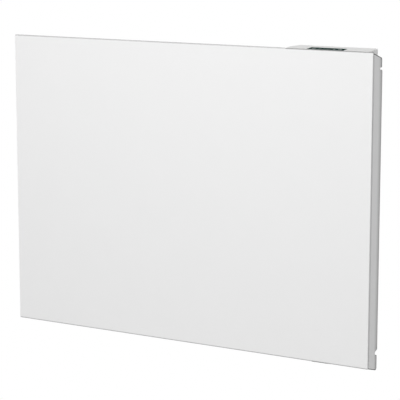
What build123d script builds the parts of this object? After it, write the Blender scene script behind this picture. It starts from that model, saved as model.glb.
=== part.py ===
from build123d import *
from math import cos, radians, sin, tan
import os

# A slim wall panel heater: a flat front panel on a folded steel casing, air in through the sloped
# bottom sheet and out through the sloped top sheet, a finned element inside, and a control box
# with a glass touch window let into the top right end. It hangs on a steel wall bracket.
#
# Millimetres. X runs sideways, right as seen from the front. Y runs from the room to the wall, and
# the wall is at Y = 0. Z is up, and Z = 0 is the middle of the panel's height. Places are given as
# a depth behind the front face and a height above the panel's bottom edge.

# --- overall -------------------------------------------------------------------------------------
panel_width = 538.5
panel_height = 400.0
body_depth = 31.4  # front face to the casing's back
wall_gap = 28.0  # casing's back to the wall

# --- sheets and fits -----------------------------------------------------------------------------
front_sheet = 1.0
casing_sheet = 0.8
grille_sheet = 1.0
bracket_sheet = 1.8
wire_radius = 1.2
fit_gap = 0.3  # between pieces that pass each other
hole_gap = 0.15  # round a screw or rivet, on the radius

# --- front panel ---------------------------------------------------------------------------------
front_edge_radius = 1.8  # along the top and bottom edges
side_edge_radius = 0.5
side_return = 2.4  # how far the panel's edges turn back
box_edge_drop = 0.22  # the top edge is lower in front of the control box

# --- casing --------------------------------------------------------------------------------------
shadow_gap = 1.2  # between the panel's turned edge and the casing
casing_inset = 0.1
casing_bend = 2.8
front_flange_width = 12.0
slope_angle = 16.5
top_drop = 1.0
bottom_rise = 0.9
ear_inset = 3.6  # the ends of the side walls stop short of the back
ear_corner = 3.0
notch_run = 8.9  # from the back to the inner end of both notches
notch_step = 5.4  # from the back to the upper notch's slant
notch_reach = 9.0  # how far the notches' clear way runs in from the sides
upper_notch_drops = (23.6, 20.9)  # below the panel's top edge
lower_notch = (12.8, 18.4)
back_top_drop = 25.8
back_bottom = 21.6
bead_width = 8.0
bead_end_inset = 53.5  # to the panel's side edges
bead_rivet_gap = 40.0  # beads to the heat shield's rivets

# --- air slots -----------------------------------------------------------------------------------
slot_pitch = 9.0
slot_width = 4.6
slot_length = 14.0
slot_centre_depth = 17.0
slot_margin = 18.0
grille_lip = 9.0
outlet_flange_drop = 31.0
inlet_flange_top = 26.0
grille_tab = (8.0, 19.0)

# --- control box ---------------------------------------------------------------------------------
box_end_inset = 6.4
box_width = 115.1
box_gap = 0.6
box_front = 2.0
box_rear_gap = 2.0  # to the casing's back
box_front_rise = -0.62
box_rear_rise = 1.78
box_wall = 2.0
box_chamfer_width = 8.0
box_chamfer_depth = 14.0
cover_seam_drop = 3.4
box_floor_drop = 15.0
well_inset = 8.0  # the lower part of the box is narrower
well_right_inset = 10.0
well_front = 5.0
well_rear_gap = 6.0
well_height = 57.0
box_screw_inset = 8.0
box_screw_drop = 23.0  # upper screws below the box floor
window_width = 50.2
window_length = 14.7
window_centre_depth = 10.1
window_thickness = 1.5
window_ledge = 1.2
window_right_inset = 35.6  # window's right end to the box's right end

# --- boards --------------------------------------------------------------------------------------
board_thickness = 1.6
board_post = 2.4  # between the main board and the well's back
board_side_gap = 4.0
main_board_height = 46.0
display_board_size = (58.0, 11.2)
display_post = 2.5
display_size = (44.0, 10.6, 5.0)
relay_size = (19.0, 10.0, 24.0)
relay_inset = 14.0  # part's middle to the main board's end
transformer_size = (24.0, 11.0, 22.0)
capacitor_radius = 4.5
capacitor_inset = 8.0
connector_size = (30.0, 8.0, 6.0)
connector_inset = 18.0
connector_up = -14.0  # from the middle of the main board

# --- element -------------------------------------------------------------------------------------
element_height = 76.0
element_depth = 14.5
fins_left_inset = 56.5  # fins' ends to the panel's edges
fins_right_inset = 70.0
hub_radius = 5.5
core_radius = 3.2
core_clearance = 0.1
fin_thickness = 1.5
fin_reach = 10.5
bush_neck_radius = 5.0
bush_flange_radius = 7.0
bush_length = 7.0
bush_gap = 1.5
terminal_length = 7.0
terminal_radius = 1.8
holder_sheet = 1.2
holder_height = 28.0

# --- heat shield ---------------------------------------------------------------------------------
shield_sheet = 0.5
spacer_length = 3.7
shield_low = 58.0
shield_top_drop = 78.0
shield_end_gap = 8.0
rivet_end_insets = (19.0, 20.5)  # in from the shield's left and right ends
rivet_edge_insets = (52.0, 32.0)  # in from its lower and upper edges
spacer_radius = 4.0
rivet_radius = 1.6
rivet_head_radius = 3.2
rivet_head = 1.0

# --- wall bracket --------------------------------------------------------------------------------
upright_inset = 134.25  # uprights' middles to the panel's side edges
upright_width = 26.0
web_gap = 2.5  # behind the casing's back
screw_margin = 80.0  # from the panel's top and bottom edges
screw_hole_radius = 3.25
bar_width = 24.0
hook_height = 45.0  # upper edge of the casing's lower slots, where the heater pivots
hook_gap = 0.4
hook_width = 22.0
hook_lip = 4.0
hook_reach = 5.0  # into the casing
hook_slot = (26.0, 12.0)
tongue_drop = 60.0  # below the panel's top edge
tongue_width = 18.0
tongue_reach = 7.0
tongue_slot = (24.0, 9.6)
tongue_slot_rise = 4.6  # slot's upper edge above the tongue
clip_sheet = 0.6
clip_width = 12.0
pad_size = (6.0, 14.0)
pad_gap = 0.4

# --- mains parts ---------------------------------------------------------------------------------
switch_inset = 72.0  # switch centre to the panel's right edge
switch_depth = 15.5
rocker_length = 16.4
rocker_width = 10.4
rocker_gap = 0.4
rocker_rest = 7.0  # degrees either side of level
rocker_pivot_depth = 3.0  # below the bezel's face
rocker_face = 1.9  # rocker's ends above its pins
rocker_dish = 0.6
rocker_root = 2.6
rocker_pin_radius = 0.9
rocker_pin_gap = 0.05
switch_wall = 1.2
switch_body_depth = 15.0
switch_flange = 0.8
switch_seat = 7.5
gland_inset = 32.0  # gland centre to the panel's right edge
gland_height = 7.0
gland_bore_radius = 3.6
gland_thread_radius = 6.0
gland_head_radius = 8.5
gland_head = 4.0
gland_inside = 10.0
nut_radius = 8.0
nut_thickness = 3.0
block_size = (30.0, 11.0, 16.0)
block_low = 40.0

# --- worked out ----------------------------------------------------------------------------------
half_width = panel_width / 2
wall_depth = body_depth + wall_gap
slope = tan(radians(slope_angle))
casing_front = side_return + shadow_gap
wall_outer = half_width - casing_inset
wall_inner = wall_outer - casing_sheet
back_inner = body_depth - casing_sheet
ear_depth = body_depth - ear_inset
ear_back = ear_depth - grille_sheet
sheet_drop = grille_sheet / cos(radians(slope_angle))
shelf_half = half_width - notch_reach
notch_depth = body_depth - notch_run
upper_notch = tuple(panel_height - drop for drop in upper_notch_drops)
back_top = panel_height - back_top_drop
bead_length = panel_width - 2 * bead_end_inset
outlet_flange_low = panel_height - outlet_flange_drop
box_right = half_width - box_end_inset
box_left = box_right - box_width
box_rear = body_depth - box_rear_gap
cover_seam = panel_height - cover_seam_drop
box_floor = panel_height - box_floor_drop
well_left = box_left + well_inset
well_right = box_right - well_right_inset
well_centre = (well_left + well_right) / 2
well_rear = body_depth - well_rear_gap
well_bottom = box_floor - well_height
main_board_size = (well_right - well_left - 2 * (box_wall + board_side_gap), main_board_height)
main_board_depth = well_rear - box_wall - board_post - board_thickness
display_board_height = box_floor + box_wall + display_post
fins_left = fins_left_inset - half_width
fins_right = half_width - fins_right_inset
shield_left = fins_left + shield_end_gap
shield_right = fins_right - shield_end_gap
shield_depth = back_inner - spacer_length - shield_sheet
shield_high = panel_height - shield_top_drop
shield_rivet_x = (shield_left + rivet_end_insets[0], 0.0, shield_right - rivet_end_insets[1])
shield_rivet_heights = (shield_low + rivet_edge_insets[0], shield_high - rivet_edge_insets[1])
bead_heights = (shield_rivet_heights[0] + bead_rivet_gap, shield_rivet_heights[1] - bead_rivet_gap)
upright_x = half_width - upright_inset
web_front = body_depth + web_gap
hook_lip_depth = body_depth - hook_reach
tongue_height = panel_height - tongue_drop
tongue_tip = body_depth - tongue_reach
tongue_slot_top = tongue_height + tongue_slot_rise
switch_x = half_width - switch_inset
gland_x = half_width - gland_inset
screw_heights = (screw_margin, panel_height - screw_margin)


def y_at(depth):
    """Y of a place that lies this deep behind the front face."""
    return depth - wall_depth


def z_at(height):
    """Z of a place this high above the panel's bottom edge."""
    return height - panel_height / 2


def side_point(depth, height):
    """A point on a plane that is seen from the right."""
    return (y_at(depth), z_at(height))


def outlet_height(depth):
    """Height of the sloped top sheet's outer face."""
    return panel_height - top_drop - slope * depth


def inlet_height(depth):
    """Height of the sloped bottom sheet's outer face."""
    return bottom_rise - slope * depth


def slab(across, depths, heights, mode=Mode.ADD):
    """A block between two sideways places, two depths and two heights."""
    centre = (sum(across) / 2, y_at(sum(depths) / 2), z_at(sum(heights) / 2))
    with Locations(centre):
        Box(across[1] - across[0], depths[1] - depths[0], heights[1] - heights[0], mode=mode)


def post(x, height, depths, radius, mode=Mode.ADD):
    """A round bar along Y between two depths."""
    with Locations((x, y_at(sum(depths) / 2), z_at(height))):
        Cylinder(radius, depths[1] - depths[0], rotation=(90, 0, 0), mode=mode)


def bar(across, depth, height, radius, mode=Mode.ADD):
    """A round bar along X between two sideways places."""
    with Locations((sum(across) / 2, y_at(depth), z_at(height))):
        Cylinder(radius, across[1] - across[0], rotation=(0, 90, 0), mode=mode)


def write(piece, name):
    """Labels a finished piece and writes it."""
    piece.part.label = name
    export_step(piece.part, f"parts/{name}.step")


def slope_plane(x, depth, height, outward):
    """A plane on a sloped sheet: its x runs sideways, its z points out (1 is up, -1 is down)."""
    lean = radians(slope_angle)
    normal = (0, outward * sin(lean), outward * cos(lean))
    return Plane(origin=(x, y_at(depth), z_at(height)), x_dir=(1, 0, 0), z_dir=normal)


# --- front panel ---------------------------------------------------------------------------------
def make_front_panel():
    """Flat steel front with its edges turned back, let down at the top for the control box."""
    with BuildPart() as front_panel:
        slab((-half_width, half_width), (0, side_return), (0, panel_height))
        front = front_panel.faces().sort_by(Axis.Y)[0]
        fillet(front.edges().filter_by(Axis.X), radius=front_edge_radius)
        front = front_panel.faces().sort_by(Axis.Y)[0]
        fillet(front.edges().filter_by(Axis.Z), radius=side_edge_radius)
        inside = half_width - front_sheet
        slab(
            (-inside, inside),
            (front_sheet, side_return + 1),
            (front_sheet, panel_height - front_sheet),
            mode=Mode.SUBTRACT,
        )
        across = (box_left - box_gap, box_right + box_gap)
        lowered = (panel_height - box_edge_drop, panel_height + 1)
        slab(across, (-1, side_return + 1), lowered, mode=Mode.SUBTRACT)
        turned = (panel_height - 2 * front_sheet, panel_height + 1)
        slab(across, (front_sheet, side_return + 1), turned, mode=Mode.SUBTRACT)
    write(front_panel, "front_panel")


def make_panel_clips():
    """Spring clips on the panel's back that grip the casing's front flanges."""
    flange_edge = wall_inner - front_flange_width
    leg = 9.0
    with BuildPart() as panel_clips:
        for side in (-1, 1):
            for height in (60.0, panel_height / 2, panel_height - 60.0):
                with BuildSketch(Plane.XY.offset(z_at(height - 7))):
                    with BuildLine():
                        near = casing_front + casing_sheet
                        FilletPolyline(
                            (side * (flange_edge + leg), y_at(near)),
                            (side * (flange_edge - fit_gap), y_at(near)),
                            (side * (flange_edge - fit_gap), y_at(front_sheet + casing_sheet)),
                            (side * (flange_edge + leg), y_at(front_sheet + casing_sheet)),
                            radius=0.1,
                        )
                        hand = Side.RIGHT if side > 0 else Side.LEFT
                        offset(amount=casing_sheet, side=hand)
                    make_face()
                extrude(amount=14)
    write(panel_clips, "panel_clips")


# --- casing --------------------------------------------------------------------------------------
def casing_outline():
    """The side walls' outline, seen from the right, with both notches."""
    step = body_depth - notch_step
    with BuildSketch(Plane.YZ.offset(-half_width)) as outline:
        with BuildLine():
            FilletPolyline(
                side_point(casing_front, inlet_height(casing_front) + sheet_drop),
                side_point(casing_front, outlet_height(casing_front) - sheet_drop),
                side_point(ear_back, outlet_height(ear_back) - sheet_drop),
                side_point(ear_back, upper_notch[1]),
                side_point(notch_depth, upper_notch[1]),
                side_point(notch_depth, upper_notch[0]),
                side_point(step, upper_notch[0]),
                side_point(body_depth, back_top),
                side_point(body_depth, back_bottom),
                side_point(notch_depth + 3.4, lower_notch[1] + 0.3),
                side_point(notch_depth, lower_notch[1]),
                side_point(notch_depth, lower_notch[0]),
                side_point(ear_back, lower_notch[0]),
                side_point(ear_back, inlet_height(ear_back) + sheet_drop),
                radius=[0.3, 0.3, 2.0, 1.2, 1.2, 1.2, 1.5, 0.5, 0.5, 1.0, 1.6, 1.8, 1.2, 2.0],
                close=True,
            )
        make_face()
    return outline.sketch


def make_rear_casing():
    """One folded sheet: the back, both side walls and their front flanges."""
    low = inlet_height(body_depth) - 1
    back_face = Plane.XZ.offset(-y_at(body_depth))
    with BuildPart() as rear_casing:
        with BuildSketch(Plane.XY.offset(z_at(low))):
            with BuildLine():
                FilletPolyline(
                    (-wall_outer, y_at(casing_front)),
                    (-wall_outer, y_at(body_depth)),
                    (wall_outer, y_at(body_depth)),
                    (wall_outer, y_at(casing_front)),
                    radius=casing_bend,
                )
                offset(amount=casing_sheet, side=Side.RIGHT)
            make_face()
        extrude(amount=panel_height - low)
        extrude(casing_outline(), amount=panel_width, mode=Mode.INTERSECT)
        for side in (-1, 1):
            across = sorted((side * (wall_inner - front_flange_width), side * wall_inner))
            slab(
                across,
                (casing_front, casing_front + casing_sheet),
                (bottom_rise + 2, box_floor - 2),
            )
        for shelf in (back_top - casing_sheet, back_bottom):
            shelf_heights = (shelf, shelf + casing_sheet)
            slab((-shelf_half, shelf_half), (ear_depth, back_inner), shelf_heights)
        # Stamped beads stiffen the back.
        for height in bead_heights:
            with BuildSketch(back_face.offset(casing_sheet)):
                with Locations((0, z_at(height))):
                    SlotOverall(bead_length + 2 * casing_sheet, bead_width + 2 * casing_sheet)
            extrude(amount=casing_sheet)
            with BuildSketch(back_face):
                with Locations((0, z_at(height))):
                    SlotOverall(bead_length, bead_width)
            extrude(amount=casing_sheet, mode=Mode.SUBTRACT)
        # Slots for the bracket's hooks and tongues.
        with BuildSketch(back_face.offset(-1)):
            with Locations((-upright_x, z_at(0)), (upright_x, z_at(0))):
                with Locations((0, hook_height - hook_slot[1] / 2)):
                    Rectangle(*hook_slot)
                with Locations((0, tongue_slot_top - tongue_slot[1] / 2)):
                    Rectangle(*tongue_slot)
        extrude(amount=body_depth - ear_depth, mode=Mode.SUBTRACT)
        through = (back_inner - 1, body_depth + 1)
        for x, height in shield_rivet_places() + holder_rivet_places() + box_screw_places():
            post(x, height, through, rivet_radius + hole_gap, mode=Mode.SUBTRACT)
    write(rear_casing, "rear_casing")


def grille_outline(height_at, flange_height, hand):
    """A sloped sheet seen from the right: the slope and its rear flange."""
    with BuildSketch(Plane.YZ.offset(-wall_outer)) as outline:
        with BuildLine():
            FilletPolyline(
                side_point(casing_front, height_at(casing_front)),
                side_point(ear_depth, height_at(ear_depth)),
                side_point(ear_depth, flange_height),
                radius=ear_corner,
            )
            offset(amount=grille_sheet, side=hand)
        make_face()
    return outline.sketch


def cut_air_slots(across, height_at, outward):
    """A row of slots along a sloped sheet."""
    count = int((across[1] - across[0]) / slot_pitch)
    centre = sum(across) / 2
    sheet = slope_plane(centre, slot_centre_depth, height_at(slot_centre_depth), outward)
    with BuildSketch(sheet) as slots:
        with GridLocations(slot_pitch, 1, count, 1):
            SlotOverall(slot_length, slot_width, rotation=90)
    extrude(slots.sketch, amount=3 * grille_sheet, both=True, mode=Mode.SUBTRACT)


def add_grille_lip(height_at, down):
    """A stiffening lip along the sheet's front edge, between the casing's front flanges."""
    lip_end = wall_inner - front_flange_width - 2
    root = height_at(casing_front) - down * sheet_drop * 0.6
    heights = sorted((root, root - down * grille_lip))
    slab((-lip_end, lip_end), (casing_front, casing_front + grille_sheet), heights)


def add_grille_tabs(height_at, down):
    """Tabs at both ends that are welded to the side walls' inner faces."""
    reach = 11.0
    for side in (-1, 1):
        near = side * wall_inner
        with BuildSketch(Plane.YZ.offset(near)) as tab:
            with BuildLine():
                Polyline(
                    side_point(grille_tab[0], height_at(grille_tab[0]) - down * sheet_drop / 2),
                    side_point(grille_tab[1], height_at(grille_tab[1]) - down * sheet_drop / 2),
                    side_point(grille_tab[1], height_at(grille_tab[0]) - down * reach),
                    side_point(grille_tab[0], height_at(grille_tab[0]) - down * reach),
                    close=True,
                )
            make_face()
        extrude(tab.sketch, amount=-side * grille_sheet)


def make_outlet_grille():
    """Sloped top sheet with the warm-air slots, cut away for the control box."""
    with BuildPart() as outlet_grille:
        outline = grille_outline(outlet_height, outlet_flange_low, Side.RIGHT)
        extrude(outline, amount=2 * wall_outer)
        add_grille_lip(outlet_height, 1)
        add_grille_tabs(outlet_height, 1)
        # The rear flange stays clear of the notches.
        for side in (-1, 1):
            end = sorted((side * shelf_half, side * (half_width + 1)))
            slab(
                end,
                (ear_back - 2, body_depth),
                (outlet_flange_low - 1, upper_notch[1]),
                mode=Mode.SUBTRACT,
            )
        slab(
            (box_left - box_gap, box_right + box_gap),
            (0, body_depth),
            (box_floor - box_wall, panel_height),
            mode=Mode.SUBTRACT,
        )
        cut_air_slots((-wall_outer + slot_margin, box_left - slot_margin / 2), outlet_height, 1)
    write(outlet_grille, "outlet_grille")


def make_inlet_grille():
    """Sloped bottom sheet with the cool-air slots, the switch, and the gland in its rear flange."""
    with BuildPart() as inlet_grille:
        outline = grille_outline(inlet_height, inlet_flange_top, Side.LEFT)
        extrude(outline, amount=2 * wall_outer)
        add_grille_lip(inlet_height, -1)
        add_grille_tabs(inlet_height, -1)
        for side in (-1, 1):
            end = sorted((side * shelf_half, side * (half_width + 1)))
            slab(
                end,
                (ear_back - 2, body_depth),
                (lower_notch[0], inlet_flange_top + 1),
                mode=Mode.SUBTRACT,
            )
        slots_right = switch_x - rocker_length / 2 - slot_margin / 2
        cut_air_slots((-wall_outer + slot_margin, slots_right), inlet_height, -1)
        with BuildSketch(switch_plane()):
            Rectangle(*(size + 2 * hole_gap for size in switch_body_size()))
        extrude(amount=3 * grille_sheet, both=True, mode=Mode.SUBTRACT)
        with BuildSketch(gland_plane()):
            Circle(gland_thread_radius + hole_gap)
        extrude(amount=-3 * grille_sheet, mode=Mode.SUBTRACT)
    write(inlet_grille, "inlet_grille")


# --- heat shield ---------------------------------------------------------------------------------
def shield_rivet_places():
    return [(x, height) for x in shield_rivet_x for height in shield_rivet_heights]


def make_heat_shield():
    """Bright sheet between the element and the back."""
    with BuildPart() as heat_shield:
        slab(
            (shield_left, shield_right),
            (shield_depth, shield_depth + shield_sheet),
            (shield_low, shield_high),
        )
        for edge in (shield_low, shield_high - shield_sheet):
            fold = (edge, edge + shield_sheet)
            slab((shield_left, shield_right), (shield_depth - 3, shield_depth), fold)
        for x, height in shield_rivet_places():
            hole = rivet_radius + hole_gap
            post(x, height, (shield_depth - 1, shield_depth + 1), hole, mode=Mode.SUBTRACT)
    write(heat_shield, "heat_shield")


def make_shield_spacers():
    with BuildPart() as shield_spacers:
        for x, height in shield_rivet_places():
            depths = (shield_depth + shield_sheet, back_inner)
            post(x, height, depths, spacer_radius)
            post(x, height, depths, rivet_radius + hole_gap, mode=Mode.SUBTRACT)
    write(shield_spacers, "shield_spacers")


def add_rivet(x, height, front, back=body_depth):
    """A rivet through to the casing's back, with a low head at each end."""
    post(x, height, (front, back), rivet_radius)
    post(x, height, (front - rivet_head, front), rivet_head_radius)
    post(x, height, (back, back + rivet_head), rivet_head_radius)


def make_shield_rivets():
    with BuildPart() as shield_rivets:
        for x, height in shield_rivet_places():
            add_rivet(x, height, shield_depth)
        rims = shield_rivets.faces().filter_by(Axis.Y).edges().filter_by(GeomType.CIRCLE)
        heads = [rim for rim in rims if abs(rim.radius - rivet_head_radius) < 0.01]
        outer = [rim for rim in heads if abs(rim.center().Y - y_at(body_depth)) > 0.5]
        outer = [rim for rim in outer if abs(rim.center().Y - y_at(shield_depth)) > 0.5]
        fillet(outer, radius=rivet_head * 0.6)
    write(shield_rivets, "shield_rivets")


# --- element -------------------------------------------------------------------------------------
def element_ends():
    """Where each end's bush starts, and the way out along X."""
    return ((fins_left - bush_gap, -1), (fins_right + bush_gap, 1))


def holder_x(start, way):
    """Middle of a holder plate: it sits in the groove of its bush."""
    return start + way * bush_length / 2


def holder_rivet_places():
    foot = 10.0
    places = []
    for start, way in element_ends():
        for rise in (-8.0, 8.0):
            places.append((holder_x(start, way) + way * foot, element_height + rise))
    return places


def make_element_fins():
    """Aluminium extrusion: a hub with crossed fins and turned ends."""
    with BuildPart() as element_fins:
        with BuildSketch(Plane.YZ.offset(fins_left)):
            with Locations(side_point(element_depth, element_height)):
                Circle(hub_radius)
                for turn in (45, 135):
                    Rectangle(2 * fin_reach * 1.25, fin_thickness, rotation=turn)
                for turn in (0, 90):
                    Rectangle(2 * fin_reach * 0.86, fin_thickness, rotation=turn)
                with PolarLocations(fin_reach * 1.25, 4, start_angle=45):
                    Rectangle(fin_thickness, 4.2)
                Circle(core_radius + core_clearance, mode=Mode.SUBTRACT)
        extrude(amount=fins_right - fins_left)
    write(element_fins, "element_fins")


def make_element_core():
    """Sheathed heating rod with a threaded terminal at each end."""
    ends = [start + way * (bush_length + 2) for start, way in element_ends()]
    with BuildPart() as element_core:
        bar(ends, element_depth, element_height, core_radius)
        tips = (ends[0] - terminal_length, ends[1] + terminal_length)
        bar(tips, element_depth, element_height, terminal_radius)
    write(element_core, "element_core")


def make_element_bush(name, start, way):
    """Ceramic bush with a groove for the holder plate."""
    neck = holder_x(start, way)
    with BuildPart() as element_bush:
        whole = sorted((start, start + way * bush_length))
        bar(whole, element_depth, element_height, bush_flange_radius)
        groove = (neck - holder_sheet / 2 - hole_gap, neck + holder_sheet / 2 + hole_gap)
        with BuildSketch(Plane.YZ.offset(groove[0])):
            with Locations(side_point(element_depth, element_height)):
                Circle(bush_flange_radius + 1)
                Circle(bush_neck_radius, mode=Mode.SUBTRACT)
        extrude(amount=groove[1] - groove[0], mode=Mode.SUBTRACT)
        beyond = (start - 2 * bush_length, start + 2 * bush_length)
        bore = core_radius + core_clearance
        bar(beyond, element_depth, element_height, bore, mode=Mode.SUBTRACT)
    write(element_bush, name)


def make_element_holder(name, start, way):
    """Steel plate round the bush, with a foot riveted to the casing's back."""
    middle = holder_x(start, way)
    near = middle - way * holder_sheet / 2
    front = element_depth - bush_flange_radius - 1.0
    with BuildPart() as element_holder:
        with BuildSketch(Plane.XY.offset(z_at(element_height - holder_height / 2))):
            with BuildLine():
                FilletPolyline(
                    (near, y_at(front)),
                    (near, y_at(back_inner)),
                    (near + way * 18, y_at(back_inner)),
                    radius=holder_sheet + 0.4,
                )
                offset(amount=holder_sheet, side=Side.RIGHT if way > 0 else Side.LEFT)
            make_face()
        extrude(amount=holder_height)
        hole = bush_neck_radius + hole_gap
        across = (middle - holder_sheet, middle + holder_sheet)
        bar(across, element_depth, element_height, hole, mode=Mode.SUBTRACT)
        for x, height in holder_rivet_places():
            if abs(x - middle) < 30:
                depths = (back_inner - 2, back_inner + 1)
                post(x, height, depths, rivet_radius + hole_gap, mode=Mode.SUBTRACT)
    write(element_holder, name)


def make_holder_rivets():
    with BuildPart() as holder_rivets:
        for x, height in holder_rivet_places():
            add_rivet(x, height, back_inner - holder_sheet)
    write(holder_rivets, "holder_rivets")


def make_element_nuts():
    """Round nuts that clamp a wire's ring on each terminal."""
    with BuildPart() as element_nuts:
        for start, way in element_ends():
            seat = start + way * (bush_length + 2)
            across = sorted((seat + way * 2.6, seat + way * 5.0))
            with BuildSketch(Plane.YZ.offset(across[0])):
                with Locations(side_point(element_depth, element_height)):
                    RegularPolygon(3.6, 6)
                    Circle(terminal_radius, mode=Mode.SUBTRACT)
            extrude(amount=across[1] - across[0])
    write(element_nuts, "element_nuts")


# --- safety cut-out and room sensor --------------------------------------------------------------
cutout_inset = 70.5  # in from the shield's right end
cutout_x = shield_right - cutout_inset
cutout_height = 132.0
cutout_radius = 8.0
cutout_length = 7.0
cutout_tab = 6.0
cutout_face = shield_depth - holder_sheet - cutout_length


def make_cutout_bracket():
    """Small plate on the shield that carries the overheat cut-out."""
    with BuildPart() as cutout_bracket:
        slab(
            (cutout_x - 14, cutout_x + 14),
            (shield_depth - holder_sheet, shield_depth),
            (cutout_height - 10, cutout_height + 10),
        )
        fillet(cutout_bracket.edges().filter_by(Axis.Y), radius=3)
    write(cutout_bracket, "cutout_bracket")


def make_overheat_cutout():
    """Disc thermostat with two tabs."""
    rear = shield_depth - holder_sheet
    front = cutout_face
    with BuildPart() as overheat_cutout:
        post(cutout_x, cutout_height, (front, rear), cutout_radius)
        post(cutout_x, cutout_height, (rear - 2.0, rear), cutout_radius + 1.2)
        for side in (-1, 1):
            tab = sorted((cutout_x + side * 3.0, cutout_x + side * 3.8))
            slab(tab, (front - cutout_tab, front), (cutout_height - 3, cutout_height + 3))
    write(overheat_cutout, "overheat_cutout")


sensor_inset = 108.5  # to the panel's right edge
sensor_x = half_width - sensor_inset
sensor_height = 17.0
sensor_radius = 2.4


def make_sensor_clip():
    """Plastic saddle that holds the room sensor in the cool air."""
    with BuildPart() as sensor_clip:
        slab(
            (sensor_x - 4, sensor_x + 4),
            (ear_back - 7.5, ear_back),
            (sensor_height - 4, sensor_height + 4),
        )
        fillet(sensor_clip.edges().filter_by(Axis.X), radius=1)
        seat = sensor_radius + hole_gap
        bar((sensor_x - 5, sensor_x + 5), ear_back - 4, sensor_height, seat, mode=Mode.SUBTRACT)
    write(sensor_clip, "sensor_clip")


def make_room_sensor():
    with BuildPart() as room_sensor:
        bar((sensor_x - 9, sensor_x + 7), ear_back - 4, sensor_height, sensor_radius)
        fillet(room_sensor.faces().sort_by(Axis.X)[0].edges(), radius=sensor_radius * 0.8)
    write(room_sensor, "room_sensor")


# --- control box ---------------------------------------------------------------------------------
def box_plan(inset=0.0):
    """The control box seen from above, with its rear left corner cut off."""
    left, right = box_left + inset, box_right - inset
    front, rear = y_at(box_front + inset), y_at(box_rear - inset)
    with BuildSketch(Plane.XY) as plan:
        with BuildLine():
            FilletPolyline(
                (left, front),
                (right, front),
                (right, rear),
                (left + box_chamfer_width, rear),
                (left, rear - box_chamfer_depth),
                radius=[1.0, 3.0, 1.5, 2.5, 4.0],
                close=True,
            )
        make_face()
    return plan.sketch


def cover_plane():
    """The cover's top face, which rises a little to the rear."""
    rise = (box_rear_rise - box_front_rise) / (box_rear - box_front)
    height = panel_height + box_front_rise + rise * (window_centre_depth - box_front)
    x = box_right - window_right_inset - window_width / 2
    origin = (x, y_at(window_centre_depth), z_at(height))
    return Plane(origin=origin, x_dir=(1, 0, 0), z_dir=(0, -rise, 1))


def cover_top(depth):
    rise = (box_rear_rise - box_front_rise) / (box_rear - box_front)
    return panel_height + box_front_rise + rise * (depth - box_front)


def make_control_cover():
    """Top cap with the window's recess and opening."""
    with BuildPart() as control_cover:
        extrude(Plane.XY.offset(z_at(cover_seam)) * box_plan(), amount=8)
        with BuildSketch(Plane.YZ.offset(box_left - 1)):
            with BuildLine():
                Polyline(
                    side_point(box_front - 1, cover_top(box_front - 1)),
                    side_point(box_rear + 1, cover_top(box_rear + 1)),
                    side_point(box_rear + 1, cover_seam + 10),
                    side_point(box_front - 1, cover_seam + 10),
                    close=True,
                )
            make_face()
        extrude(amount=box_width + 2, mode=Mode.SUBTRACT)
        fillet(control_cover.faces().sort_by(Axis.Z)[-1].edges(), radius=0.4)
        with BuildSketch(cover_plane()):
            RectangleRounded(window_width + 2 * hole_gap, window_length + 2 * hole_gap, 1.0 + hole_gap)
        extrude(amount=-window_thickness, mode=Mode.SUBTRACT)
        with BuildSketch(cover_plane()):
            Rectangle(window_width - 2 * window_ledge, window_length - 2 * window_ledge)
        extrude(amount=-8, mode=Mode.SUBTRACT)
    write(control_cover, "control_cover")


def make_display_window():
    """Glossy dark glass, flush with the cover."""
    with BuildPart() as display_window:
        with BuildSketch(cover_plane()):
            RectangleRounded(window_width, window_length, 1.0)
        extrude(amount=-window_thickness)
    write(display_window, "display_window")


def make_control_housing():
    """Plastic box: a wide tray under the cover and a narrower well for the main board."""
    tray_floor = box_floor + box_wall
    with BuildPart() as control_housing:
        extrude(Plane.XY.offset(z_at(box_floor)) * box_plan(), amount=cover_seam - box_floor)
        slab((well_left, well_right), (well_front, well_rear), (well_bottom, box_floor + 1))
        fillet(control_housing.faces().sort_by(Axis.Z)[0].edges(), radius=1.0)
        extrude(
            Plane.XY.offset(z_at(tray_floor)) * box_plan(box_wall),
            amount=cover_seam - tray_floor + 1,
            mode=Mode.SUBTRACT,
        )
        slab(
            (well_left + box_wall, well_right - box_wall),
            (well_front + box_wall, well_rear - box_wall),
            (well_bottom + box_wall, tray_floor + 1),
            mode=Mode.SUBTRACT,
        )
        for x, height in board_screw_places():
            back = (main_board_depth + board_thickness, well_rear - box_wall)
            post(x, height, back, 2.6)
            post(x, height, (back[0] - 1, well_rear - 0.8), 1.0 + hole_gap, mode=Mode.SUBTRACT)
        for x in display_post_x():
            with Locations((x, y_at(window_centre_depth), z_at((tray_floor + display_board_height) / 2))):
                Box(3, display_board_size[1], display_board_height - tray_floor)
        for x, height in box_screw_places():
            post(x, height, (well_rear, back_inner), 3.6)
            post(x, height, (well_rear - 1.2, back_inner + 1), rivet_radius + hole_gap, mode=Mode.SUBTRACT)
        for x in box_lead_x():
            with Locations((x, y_at(lead_depth), z_at(well_bottom))):
                Cylinder(wire_radius + 2 * hole_gap, 4 * box_wall, mode=Mode.SUBTRACT)
    write(control_housing, "control_housing")


def box_screw_places():
    """Screws that hold the control box to the casing's back."""
    across = (well_left + box_screw_inset, well_right - box_screw_inset)
    heights = (well_bottom + box_screw_inset, box_floor - box_screw_drop)
    return [(x, height) for x in across for height in heights]


def board_screw_places():
    width, height = main_board_size
    middle = main_board_middle()
    return [
        (well_centre + across * (width / 2 - 4), middle + up * (height / 2 - 4))
        for across in (-1, 1)
        for up in (-1, 1)
    ]


def main_board_middle():
    return well_bottom + box_wall + 1.5 + main_board_size[1] / 2


def display_post_x():
    middle = box_right - window_right_inset - window_width / 2
    reach = display_board_size[0] / 2 - 1.5
    return (middle - reach, middle + reach)


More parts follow.
